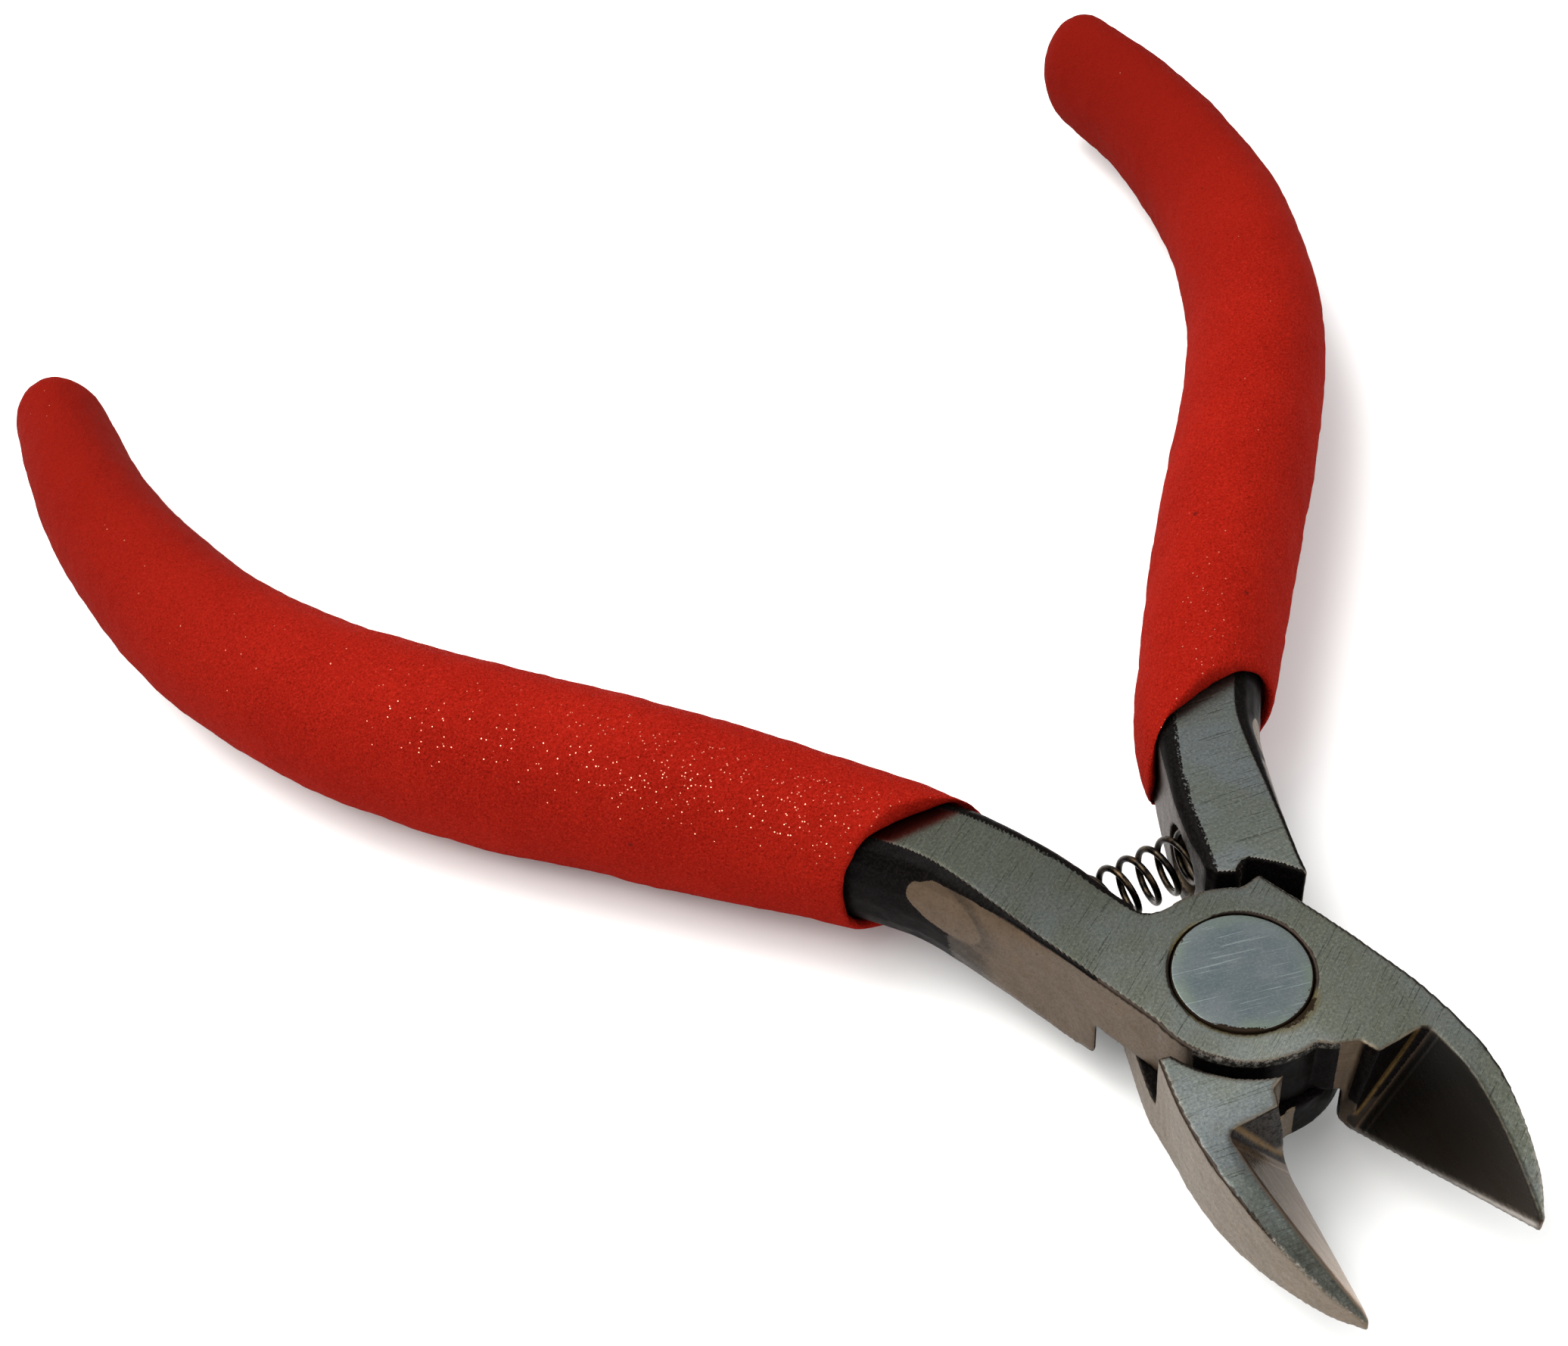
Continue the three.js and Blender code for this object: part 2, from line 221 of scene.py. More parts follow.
def set_attribute(mesh, name, values):
    layer = mesh.attributes.new(name, "FLOAT", "POINT")
    layer.data.foreach_set("value", np.clip(values, 0, 1).astype(np.float32))


def get_attribute(mesh, name):
    values = np.empty(len(mesh.vertices), np.float32)
    mesh.attributes[name].data.foreach_get("value", values)
    return values


def new_object(name, mesh, material, smooth=True):
    obj = bpy.data.objects.new(name, mesh)
    bpy.context.scene.collection.objects.link(obj)
    mesh.materials.clear()
    mesh.materials.append(material)
    if smooth:
        mesh.polygons.foreach_set("use_smooth", [True] * len(mesh.polygons))
    return obj


def grid_mesh(name, rows, closed_start=True):
    """Quads through rows of equal length, each a closed loop of points, and a face on the last."""
    count = rows.shape[1]
    faces = []
    for r in range(len(rows) - 1):
        a = r * count
        faces += [(a + i, a + (i + 1) % count, a + count + (i + 1) % count, a + count + i)
                  for i in range(count)]
    if closed_start:
        faces.append(tuple(range(count))[::-1])
    last = (len(rows) - 1) * count
    faces.append(tuple(range(last, last + count)))
    mesh = bpy.data.meshes.new(name)
    mesh.from_pydata(rows.reshape(-1, 3).tolist(), [], faces)
    mesh.update()
    return mesh


# ---------------------------------------------------------------- Materials

GRIME = (0.012, 0.0075, 0.004)


def scaled(colour, factor):
    return tuple(c * factor for c in colour)


class Nodes:
    """Short forms for building one material's node tree."""

    def __init__(self, name):
        self.material = bpy.data.materials.new(name)
        self.material.use_nodes = True
        self.tree = self.material.node_tree
        self.tree.nodes.clear()
        self.out = self.tree.nodes.new("ShaderNodeOutputMaterial")
        coordinates = self.tree.nodes.new("ShaderNodeTexCoord")
        self.place = self.vector("SCALE", coordinates.outputs["Object"], scale=1 / MM)

    def link(self, source, socket):
        if isinstance(source, bpy.types.NodeSocket):
            self.tree.links.new(source, socket)
        else:
            socket.default_value = source

    def vector(self, operation, a, b=None, scale=None):
        node = self.tree.nodes.new("ShaderNodeVectorMath")
        node.operation = operation
        self.link(a, node.inputs[0])
        if b is not None:
            self.link(b, node.inputs[1])
        if scale is not None:
            node.inputs["Scale"].default_value = scale
        return node.outputs["Value" if operation == "DOT_PRODUCT" else "Vector"]

    def math(self, operation, a, b=0.0, clamp=False):
        node = self.tree.nodes.new("ShaderNodeMath")
        node.operation = operation
        node.use_clamp = clamp
        self.link(a, node.inputs[0])
        self.link(b, node.inputs[1])
        return node.outputs[0]

    def add(self, a, b):
        return self.math("ADD", a, b)

    def subtract(self, a, b):
        return self.math("SUBTRACT", a, b)

    def multiply(self, a, b):
        return self.math("MULTIPLY", a, b)

    def ramp(self, value, low, high, to_low=0.0, to_high=1.0):
        node = self.tree.nodes.new("ShaderNodeMapRange")
        node.interpolation_type = "SMOOTHSTEP"
        self.link(value, node.inputs["Value"])
        limits = {"From Min": low, "From Max": high, "To Min": to_low, "To Max": to_high}
        for key, number in limits.items():
            node.inputs[key].default_value = number
        return node.outputs["Result"]

    def noise(self, scale, detail=2.0, roughness=0.5, place=None):
        node = self.tree.nodes.new("ShaderNodeTexNoise")
        self.link(place or self.place, node.inputs["Vector"])
        node.inputs["Scale"].default_value = scale
        node.inputs["Detail"].default_value = detail
        node.inputs["Roughness"].default_value = roughness
        return node.outputs["Fac"]

    def cells(self, scale, output="Distance"):
        node = self.tree.nodes.new("ShaderNodeTexVoronoi")
        self.link(self.place, node.inputs["Vector"])
        node.inputs["Scale"].default_value = scale
        return node.outputs[output]

    def spots(self, scale, full, none, strength=1):
        """A round spot in each cell: strongest within full of its centre, gone at none."""
        return self.ramp(self.cells(scale), full, none, strength, 0)

    def turned(self, degrees, scale):
        """Coordinates turned about Z, then scaled along each axis."""
        node = self.tree.nodes.new("ShaderNodeMapping")
        node.vector_type = "POINT"
        spin = self.tree.nodes.new("ShaderNodeVectorRotate")
        spin.rotation_type = "Z_AXIS"
        spin.inputs["Angle"].default_value = math.radians(-degrees)
        self.link(self.place, spin.inputs["Vector"])
        self.link(spin.outputs[0], node.inputs["Vector"])
        node.inputs["Scale"].default_value = scale
        return node.outputs[0]

    def mix(self, factor, a, b):
        """Colour or vector a, turning to b as the factor goes to 1."""
        node = self.tree.nodes.new("ShaderNodeMix")
        node.data_type = "RGBA"
        self.link(factor, node.inputs[0])
        self.link(a if isinstance(a, bpy.types.NodeSocket) else (*a, 1), node.inputs[6])
        self.link(b if isinstance(b, bpy.types.NodeSocket) else (*b, 1), node.inputs[7])
        return node.outputs[2]

    def blend(self, factor, a, b):
        """Number a, turning to b as the factor goes to 1."""
        node = self.tree.nodes.new("ShaderNodeMix")
        self.link(factor, node.inputs[0])
        self.link(a, node.inputs[2])
        self.link(b, node.inputs[3])
        return node.outputs[0]

    def spread(self, value):
        """A vector with the value on each axis."""
        node = self.tree.nodes.new("ShaderNodeCombineXYZ")
        for socket in node.inputs:
            self.link(value, socket)
        return node.outputs[0]

    def attribute(self, name):
        node = self.tree.nodes.new("ShaderNodeAttribute")
        node.attribute_name = name
        return node.outputs["Fac"]

    def patchy(self, mask, pattern, amount, low, high, edge):
        """The mask broken up by a pattern of this amount, and never reaching beyond its edge."""
        centred = self.subtract(pattern, 0.5)
        broken = self.add(mask, self.multiply(centred, amount))
        return self.multiply(self.ramp(broken, low, high), self.ramp(mask, 0.0, edge))

    def bump(self, height, strength, distance):
        node = self.tree.nodes.new("ShaderNodeBump")
        node.inputs["Distance"].default_value = distance * MM
        node.inputs["Strength"].default_value = strength
        self.link(height, node.inputs["Height"])
        return node.outputs[0]

    def finish(self, colour, roughness, normal=None, metallic=0.0, specular=0.5):
        shader = self.tree.nodes.new("ShaderNodeBsdfPrincipled")
        self.link(colour, shader.inputs["Base Color"])
        self.link(roughness, shader.inputs["Roughness"])
        self.link(metallic, shader.inputs["Metallic"])
        shader.inputs["Specular IOR Level"].default_value = specular
        if normal is not None:
            self.link(normal, shader.inputs["Normal"])
        self.tree.links.new(shader.outputs[0], self.out.inputs[0])
        return self.material


def scratches(n, degrees):
    """Ground lines at an angle in plan: two sizes of fine grain, and sparser deep lines."""
    grain = n.noise(1.0, 3, 0.6, n.turned(degrees, (0.45, 13, 2)))
    fine = n.noise(1.0, 2, 0.6, n.turned(degrees + 2, (1.1, 26, 4)))
    deep = n.noise(1.0, 1, 0.5, n.turned(degrees - 4, (0.3, 8.5, 2)))
    return grain, fine, n.ramp(deep, 0.64, 0.7)


def steel_material(name, degrees, green, blue, bevel_reflection_colour, side_colour):
    """Steel whose attributes say where it is ground flat, cut to a bevel, black, rusty or dirty, and
    where light and shade are painted.
    """
    n = Nodes(name)
    ground, oxide, cut = n.attribute("ground"), n.attribute("oxide"), n.attribute("cut")
    rust, wear_and_highlight, land = n.attribute("rust"), n.attribute("wear_and_highlight"), n.attribute("land")
    dirt_and_shade, stain = n.attribute("dirt_and_shade"), n.attribute("stain")
    painted_light = n.multiply(n.attribute("painted_light"), PAINTED_LIGHT_RANGE)
    grain, fine, deep = scratches(n, degrees)
    wide = n.noise(0.2, 2, 0.5)
    middle = n.noise(0.6, 3, 0.6)
    sand = n.noise(5.5, 2, 0.7)
    speck = n.noise(3.2, 4, 0.75)

    # ground flats: grey-green, bluer and browner in patches
    brown = (0.125, 0.112, 0.085)
    flat = n.mix(n.ramp(wide, 0.38, 0.62), green, blue)
    flat = n.mix(n.ramp(middle, 0.52, 0.75, 0, 0.35), flat, brown)
    flat = n.mix(n.ramp(grain, 0.5, 0.68, 0, 0.4), flat, scaled(blue, 1.7))
    flat = n.mix(n.ramp(fine, 0.54, 0.7, 0, 0.4), flat, scaled(green, 0.4))
    flat = n.mix(n.multiply(deep, 0.7), flat, scaled(green, 0.4))
    flat = n.mix(n.ramp(sand, 0.5, 0.7, 0, 0.45), flat, scaled(green, 2.0))
    flat = n.mix(n.ramp(sand, 0.48, 0.3, 0, 0.45), flat, scaled(green, 0.4))

    # satin sides with small pits, and the bright land along the cutting edge
    pits = n.multiply(n.spots(1.3, 0.05, 0.15), n.ramp(middle, 0.5, 0.62))
    side = n.mix(n.ramp(middle, 0.3, 0.75), side_colour, scaled(side_colour, 1.2))
    side = n.mix(n.ramp(sand, 0.4, 0.75, 0, 0.25), side, scaled(side_colour, 0.6))
    side = n.mix(n.multiply(pits, 0.8), side, (0.02, 0.015, 0.012))
    side = n.mix(land, side, (0.33, 0.3, 0.27))

    # the bevel, polished by the grinder along its slope, in each half's colour that is a painted
    # reflection
    streak = n.noise(1.0, 2, 0.5, n.turned(90, (0.3, 3, 0.3)))
    face = n.mix(n.ramp(streak, 0.3, 0.75), bevel_reflection_colour, scaled(bevel_reflection_colour, 1.2))

    colour = n.mix(ground, side, flat)
    colour = n.mix(cut, colour, face)
    # painted light and shade: the colour's brightness is scaled by the painted light attribute
    colour = n.vector("MULTIPLY", colour, n.spread(painted_light))

    # painted shade and red reflection of the foam's lip beside the grip, and dull patches, partly
    # dirt and partly painted shade
    lip_reflection_mask = n.patchy(n.attribute("lip_shade_and_reflection"), speck, 0.6, 0.15, 0.9, 0.2)
    colour = n.mix(lip_reflection_mask, colour, (0.04, 0.007, 0.005))
    dirt_and_shade_mask = n.patchy(dirt_and_shade, speck, 0.5, 0.2, 0.8, 0.15)
    colour = n.mix(dirt_and_shade_mask, colour, (0.02, 0.015, 0.012))

    # black oxide, ragged where it meets the ground faces, with rust over it, and bright edges that
    # are partly wear and partly painted highlight
    black = n.patchy(oxide, n.noise(4.5, 5, 0.8), 1.1, 0.4, 0.6, 0.1)
    soot = n.mix(n.ramp(sand, 0.4, 0.7), (0.0018, 0.0013, 0.0012), (0.0055, 0.0044, 0.0042))
    colour = n.mix(black, colour, soot)
    rusty = n.multiply(rust, n.ramp(speck, 0.25, 0.5))
    colour = n.mix(rusty, colour, (0.13, 0.078, 0.027))
    bright = n.multiply(wear_and_highlight, n.ramp(speck, 0.45, 0.62, 0.1, 1))
    colour = n.mix(bright, colour, (0.24, 0.22, 0.19))

    # grime round the rivet: a thin brown film, and dark patches
    grime = n.patchy(stain, n.noise(2.8, 5, 0.8), 1.3, 0.5, 0.68, 0.12)
    colour = n.mix(n.ramp(stain, 0.03, 0.5, 0, 0.65), colour, (0.11, 0.088, 0.04))
    colour = n.mix(grime, colour, GRIME)

    side_roughness = n.ramp(sand, 0.3, 0.8, 0.42, 0.56)
    roughness = n.blend(ground, side_roughness, n.ramp(grain, 0.3, 0.8, 0.46, 0.34))
    roughness = n.blend(cut, roughness, n.ramp(streak, 0.3, 0.8, 0.3, 0.25))
    roughness = n.blend(black, roughness, n.ramp(middle, 0.35, 0.7, 0.34, 0.5))
    roughness = n.blend(rusty, roughness, 0.5)

    lines = n.subtract(grain, n.multiply(deep, 0.6))
    lines = n.add(lines, n.multiply(fine, 0.5))
    height = n.blend(ground, n.multiply(sand, 0.7), lines)
    height = n.subtract(height, n.multiply(pits, 0.6))
    lumps = n.add(n.multiply(n.noise(1.6, 3, 0.6), 3.0), sand)
    height = n.blend(black, height, lumps)

    dull = n.math("SUBTRACT", n.math("MAXIMUM", black, grime), rusty, clamp=True)
    metallic = n.blend(dull, 1.0, 0.0)
    return n.finish(colour, roughness, n.bump(height, 0.3, 0.02), metallic, 0.02)


def rivet_material():
    n = Nodes("rivet_steel")
    grain, fine, deep = scratches(n, -11)
    wide = n.noise(0.35, 2, 0.5)
    sand = n.noise(8, 2, 0.7)
    colour = n.mix(n.ramp(wide, 0.35, 0.68), (0.085, 0.108, 0.115), (0.122, 0.137, 0.144))
    colour = n.mix(n.ramp(grain, 0.4, 0.7, 0, 0.3), colour, (0.23, 0.26, 0.25))
    colour = n.mix(n.ramp(fine, 0.52, 0.75, 0, 0.3), colour, (0.05, 0.06, 0.068))
    colour = n.mix(n.multiply(deep, 0.4), colour, (0.3, 0.34, 0.33))
    colour = n.mix(n.ramp(sand, 0.5, 0.75, 0, 0.25), colour, (0.28, 0.3, 0.3))
    colour = n.mix(n.ramp(sand, 0.48, 0.28, 0, 0.25), colour, (0.06, 0.07, 0.08))
    worn = n.multiply(n.attribute("rim"), n.ramp(wide, 0.3, 0.6, 0.5, 0.1))
    colour = n.mix(worn, colour, (0.2, 0.24, 0.17))
    grime = n.patchy(n.attribute("stain"), n.noise(3.0, 5, 0.8), 1.3, 0.5, 0.66, 0.12)
    colour = n.mix(grime, colour, GRIME)
    roughness = n.blend(grime, n.ramp(grain, 0.3, 0.8, 0.44, 0.32), 0.6)
    height = n.add(grain, n.multiply(fine, 0.5))
    metallic = n.blend(grime, 1.0, 0.0)
    return n.finish(colour, roughness, n.bump(height, 0.25, 0.02), metallic, 0.04)


def spring_material():
    """Dark blued wire with brown patches."""
    n = Nodes("spring_steel")
    patch = n.noise(1.4, 3, 0.6)
    colour = n.mix(n.ramp(patch, 0.4, 0.68), (0.009, 0.008, 0.007), (0.06, 0.042, 0.024))
    roughness = n.ramp(patch, 0.3, 0.7, 0.2, 0.36)
    return n.finish(colour, roughness, n.bump(n.noise(12, 2), 0.15, 0.01), 1.0)


def grip_material():
    """Red foam: grain, pits and dark flecks, with tiny glints where the glint attribute is high,
    partly painted pale and partly reflected by tilted metallic facets.
    """
    n = Nodes("grip_foam")
    grain = n.noise(6.0, 3, 0.7)
    coarse = n.noise(1.7, 3, 0.6)
    wide = n.noise(0.12, 2, 0.5)
    red = n.mix(n.ramp(wide, 0.35, 0.7), (0.2, 0.0062, 0.0028), (0.228, 0.0076, 0.0034))
    colour = n.mix(n.ramp(grain, 0.5, 0.7, 0, 0.6), red, (0.34, 0.017, 0.009))
    colour = n.mix(n.ramp(grain, 0.47, 0.3, 0, 0.75), colour, (0.1, 0.0024, 0.001))
    # darker towards the grip's end
    colour = n.mix(n.attribute("end_darkening"), colour, (0.135, 0.0052, 0.0026))
    flecks = n.multiply(n.spots(0.21, 0.03, 0.05), n.ramp(coarse, 0.45, 0.55))
    pits = n.multiply(n.spots(3.1, 0.1, 0.2, 0.7), n.ramp(coarse, 0.42, 0.6))
    dark = n.math("MAXIMUM", n.multiply(flecks, 0.7), pits)
    colour = n.mix(dark, colour, (0.07, 0.006, 0.004))

    # a glassy facet in some of the cells, each tilted its own way, and painted pale as a painted
    # glint
    facet_size = 8.0
    cell = n.cells(facet_size, "Color")
    luck = n.vector("DOT_PRODUCT", cell, (0.6, 0.3, 0.1))
    luck = n.subtract(luck, n.multiply(n.subtract(1.0, n.attribute("glint")), 0.22))
    chosen = n.multiply(n.ramp(luck, 0.775, 0.79), n.spots(facet_size, 0.3, 0.45))
    colour = n.mix(n.multiply(chosen, 0.9), colour, (0.8, 0.3, 0.2))
    tilt = n.vector("SCALE", n.vector("SUBTRACT", cell, (0.5, 0.5, 0.5)), scale=0.9)
    geometry = n.tree.nodes.new("ShaderNodeNewGeometry")
    facet = n.vector("NORMALIZE", n.vector("ADD", geometry.outputs["Normal"], tilt))

    height = n.add(n.multiply(grain, 1.2), n.multiply(coarse, 1.4))
    height = n.subtract(height, n.spots(4.5, 0.1, 0.4, 0.5))
    normal = n.mix(n.multiply(chosen, 0.8), n.bump(height, 0.9, 0.08), facet)
    roughness = n.blend(chosen, n.ramp(grain, 0.3, 0.7, 0.85, 0.75), 0.2)
    return n.finish(colour, roughness, normal, n.multiply(chosen, 0.7), 0.01)


def floor_material():
    n = Nodes("studio_floor")
    cloud = n.mix(n.noise(0.01, 2), (0.86, 0.86, 0.85), (0.88, 0.88, 0.87))
    return n.finish(cloud, 0.85, specular=0.2)


# ---------------------------------------------------------------- Steel halves


def refined(node):
    """The CAD half as a fine, slightly softened mesh in millimetres, without the hidden bar."""
    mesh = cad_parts[node].data.copy()
    bm = bmesh.new()
    bm.from_mesh(mesh)
    bmesh.ops.remove_doubles(bm, verts=bm.verts, dist=2e-6)
    everything = bm.verts[:] + bm.edges[:] + bm.faces[:]
    cut = bmesh.ops.bisect_plane(bm, geom=everything, plane_co=(0, HIDDEN_FROM * MM, 0),
                                 plane_no=(0, 1, 0), clear_outer=True)
    loop = [e for e in cut["geom_cut"] if isinstance(e, bmesh.types.BMEdge)]
    bmesh.ops.edgeloop_fill(bm, edges=loop)
    bm.to_mesh(mesh)
    bm.free()
    mesh.transform(Matrix.Scale(1 / MM, 4))
    scratch = bpy.data.objects.new("scratch", mesh)
    bpy.context.scene.collection.objects.link(scratch)
    remesh = scratch.modifiers.new("remesh", "REMESH")
    remesh.mode = "VOXEL"
    remesh.voxel_size = STEEL_VOXEL
    smooth = scratch.modifiers.new("smooth", "SMOOTH")
    smooth.factor = 0.5
    smooth.iterations = 3
    graph = bpy.context.evaluated_depsgraph_get()
    made = bpy.data.meshes.new_from_object(scratch.evaluated_get(graph))
    bpy.data.objects.remove(scratch)
    made.name = node
    return made


def averaged(values, edges, count):
    """Each vertex's neighbours' mean."""
    a, b = edges
    total = np.bincount(a, values[b], count) + np.bincount(b, values[a], count)
    neighbours = np.bincount(a, minlength=count) + np.bincount(b, minlength=count)
    return total / neighbours


def averaged_points(points, edges):
    return np.stack([averaged(points[:, i], edges, len(points)) for i in range(3)], axis=1)


def distance_to(points, line):
    """Distance in plan from each point to a line of corners."""
    best = np.full(len(points), np.inf)
    for a, b in zip(np.array(line[:-1], float), np.array(line[1:], float)):
        t = np.clip(((points[:, :2] - a) @ (b - a)) / ((b - a) @ (b - a)), 0, 1)
        best = np.minimum(best, np.linalg.norm(points[:, :2] - a - t[:, None] * (b - a), axis=1))
    return best


def bend_of(points, normals, edges):
    """How far each vertex stands proud of its neighbours, in millimetres: convex is above 0."""
    proud = ((points - averaged_points(points, edges)) * normals).sum(1)
    for _ in range(2):
        proud = 0.4 * proud + 0.6 * averaged(proud, edges, len(points))
    return proud


class Surface:
    """One half's vertices, and what its painting needs to know of them, with the jaw at +X."""

    def __init__(self, mesh, upper):
        points, normals = mesh_arrays(mesh)
        side = (1, 1, 1) if upper else (-1, 1, 1)
        self.upper = upper
        self.edges = mesh_edges(mesh)
        self.proud = bend_of(points, normals, self.edges)
        self.points = points * side
        self.normals = normals * side
        self.x, self.y, self.z = self.points.T
        self.nx, self.ny, self.nz = self.normals.T
        self.lying = np.abs(self.nz)
        self.radius = np.hypot(self.x, self.y)
        self.angle = np.degrees(np.arctan2(self.y, self.x)) % 360
        self.outward = (self.x * self.nx + self.y * self.ny) / np.maximum(self.radius, 0.01)
        self.along_bevel = self.normals @ np.array(BEVEL_NORMAL)
        self.at_top = ramp(self.z, THICKNESS - 0.15, THICKNESS - 0.05)
        self.at_bottom = below(self.z, 0.05, 0.15)
        self.on_tang = ramp(self.y, 3.4, 4.4) * below(self.x, -2.0, -0.5)


def relaxed(s, mask, times):
    """The points, pulled towards their neighbours' mean as far as the mask says."""
    points = s.points.copy()
    for _ in range(times):
        points += (averaged_points(points, s.edges) - points) * (0.7 * mask)[:, None]
    return points


def rounded_stop(s):
    """Round the corners of the upper half's stop, at its foot and at the height of the lap."""
    at_stop = near(s.radius, STOP_CORNER_RADIUS, 0.3, 0.8) * below(s.x, -6.5, -5.0)
    at_corner = np.maximum(below(s.z, 0.3, 0.8), near(s.z, STOP_CORNER_HEIGHT, 0.3, 0.8))
    return relaxed(s, at_stop * ramp(s.y, 1.5, 2.5) * at_corner, 14)


def worn_edge(s):
    """Round the worn edge between the lower jaw's top and its bevel."""
    between = ramp(s.along_bevel, 0.6, 0.75) * below(s.along_bevel, 0.95, 0.985)
    mask = ramp(s.proud, 0.002, 0.006) * between * below(s.y, -10.5, -9.2)
    for _ in range(7):
        mask = np.maximum(mask, averaged(mask, s.edges, len(mask)) * 1.05)
    return relaxed(s, np.clip(mask * 3, 0, 1), 34)


def find_ground(s):
    """Masks of the top flat, of all ground faces, and of the bevel."""
    softer = 0.0 if s.upper else 0.08
    rivet_seat = below(s.radius, 4.6, 4.7) * ramp(s.nz, 0.3, 0.5) * ramp(s.z, 7.8, 7.9)
    flat_top = np.maximum(ramp(s.nz, 0.965, 0.985) * s.at_top, rivet_seat)
    flat_under = below(s.nz, -0.985, -0.965) * s.at_bottom
    nose = ramp(s.lying, 0.62, 0.78) * below(s.y, -9.5, -8.0)
    cut = ramp(s.along_bevel, 0.93 - softer, 0.985) * below(s.y, -8.4, -7.9)
    ground = strongest(flat_top, flat_under, nose) * (1 - ramp(s.along_bevel, 0.9 - softer, 0.97))
    for _ in range(2):
        ground = 0.5 * ground + 0.5 * averaged(ground, s.edges, len(ground))
        cut = 0.5 * cut + 0.5 * averaged(cut, s.edges, len(cut))
    return flat_top, ground, cut


def joint_scale(s, cut):
    """Black on the recess's shoulder, lap face and disc rim; the rim; and the bevel's notch."""
    near_joint = below(s.radius, RECESS_RADIUS - 0.2, RECESS_RADIUS + 0.2)
    in_recess = below(s.z, 3.2, 3.5) if s.upper else ramp(s.z, 2.9, 3.2)
    shoulder = near_joint * in_recess * below(s.outward, -0.6, -0.3)
    lap = near_joint * ramp(s.lying, 0.8, 0.95) * ramp(s.z, 2.6, 2.9) * below(s.z, 3.5, 3.8)
    if s.upper:
        beside_disc = ramp(s.z, 3.0, 3.4)
        exposed = np.maximum(ramp(s.angle, 203, 214) * below(s.x, 1.85, 2.05),
                             below(s.angle, 90, 100) * ramp(s.y, 0.5, 1.5))
    else:
        beside_disc = below(s.z, 3.0, 3.3)
        exposed = below(s.x, 0.4, 0.8)
    in_disc = below(s.radius, DISC_RADIUS - 0.1, DISC_RADIUS + 0.1)
    rim = beside_disc * ramp(s.outward, 0.35, 0.6) * in_disc * exposed

    corner_x = BEVEL_ROOT[0] + (s.z - BEVEL_ROOT[2]) * BEVEL_UP[0] / BEVEL_UP[2]
    notch = ramp(s.y, -9.0, -8.8) * below(s.y, -7.72, -7.58)
    notch = notch * ramp(corner_x + 0.35 - s.x, 0, 0.15) * ramp(s.x, 2.0, 2.3)
    notch = notch * (1 - cut) * ramp(s.z + 0.5 * (s.y + 8), 2.4, 3.4) * below(s.lying, 0.6, 0.8)
    return strongest(shoulder, lap, rim, (0.85 if s.upper else 0.47) * notch), rim, notch


def tang_scale(s, flat_top):
    """The tang's black sides and edges, the black bitten into its flat, and its dull patches, one of
    them a painted shadow.
    """
    outer = s.on_tang * below(s.nx, -0.5, -0.25)
    inner_edge = s.on_tang * ramp(s.nx, 0.02, 0.12) * ramp(s.lying, 0.12, 0.3)
    inner_edge = inner_edge * np.maximum(ramp(s.z, 6.9, 7.4), below(s.z, 0.8, 1.3))
    edge_line = 0.2 + 0.2 * ramp(s.y, 10.5, 12.5) + 0.2 * ramp(s.y, 12.5, 15.6)
    edge_line = (edge_line + 0.5 * ramp(s.y, 15.6, 16.6)) * (1 if s.upper else 0.55)
    to_face = np.minimum(np.abs(THICKNESS - s.z), np.abs(s.z))
    outer_edge = s.on_tang * below(s.nx, -0.1, -0.02) * ramp(edge_line - to_face, -0.12, 0.15)

    # a slanting oval on the outer side is polished bright, and the scale stops round it
    from_y, from_z = s.y - OVAL_CENTRE[0], s.z - OVAL_CENTRE[1]
    along = from_y * OVAL_LEAN[0] + from_z * OVAL_LEAN[1]
    aside = from_z * OVAL_LEAN[0] - from_y * OVAL_LEAN[1]
    oval = (along / OVAL_HALF[0]) ** 2 + (aside / OVAL_HALF[1]) ** 2
    by_grip = ramp(s.y, 15.0, 16.2) if s.upper else ramp(s.y, 12.2, 14.0)
    slanted_height = 0.2 * (14.0 - s.y) + s.z
    low = 0.9 * below(slanted_height, 3.95, 4.45) * ramp(s.y, 11.0, 13.2) * ramp(s.y, 13.0, 15.0)
    side = outer * np.maximum(by_grip * ramp(oval, 0.85, 1.2), low * ramp(oval, 0.9, 1.1))
    in_grip = 0.9 * ramp(s.y, 19.6, 20.2)
    black = strongest(inner_edge, outer_edge, side, in_grip)

    # the inner edge bites raggedly into the flat top
    bite = (0.1 if s.upper else 0.2) + 0.22 * np.maximum(noise(s.points, 1.5, 31), 0)
    from_edge = distance_to(s.points, TANG_INNER)
    eaten = 0.6 * s.on_tang * ramp(bite - from_edge, -0.12, 0.1) * flat_top

    # dull patches: the tang's inner side darker, a painted shadow low on its outer side, and a darker
    # band beside the oval
    inner = 0.72 * s.on_tang * ramp(s.nx, 0.35, 0.7)
    shaded = below(slanted_height, 3.8, 4.9) * ramp(s.y, 9.8, 12.5) * ramp(oval, 0.9, 1.1)
    darker_band = ramp(oval, 0.75, 1.15) * below(oval, 1.2, 3.6) * ramp(aside - 0.7 * along, -0.6, 1.2)
    dull = strongest(inner, 0.62 * outer * shaded, 0.5 * outer * darker_band)
    return black, eaten, dull


def edge_patina(s):
    """Dull lines where the sides turn to the flats, on the tang and on the jaw."""
    turning = ramp(s.lying, 0.1, 0.3)
    tang = ramp(s.proud, 0.002, 0.005) * below(s.nx, -0.15, -0.02) * ramp(s.y, -6, -4)
    jaw = ramp(s.proud, 0.0025, 0.006) * ramp(s.nx, 0.05, 0.2) * ramp(s.y, -16, -15)
    return np.maximum(0.95 * tang, 0.85 * jaw) * turning


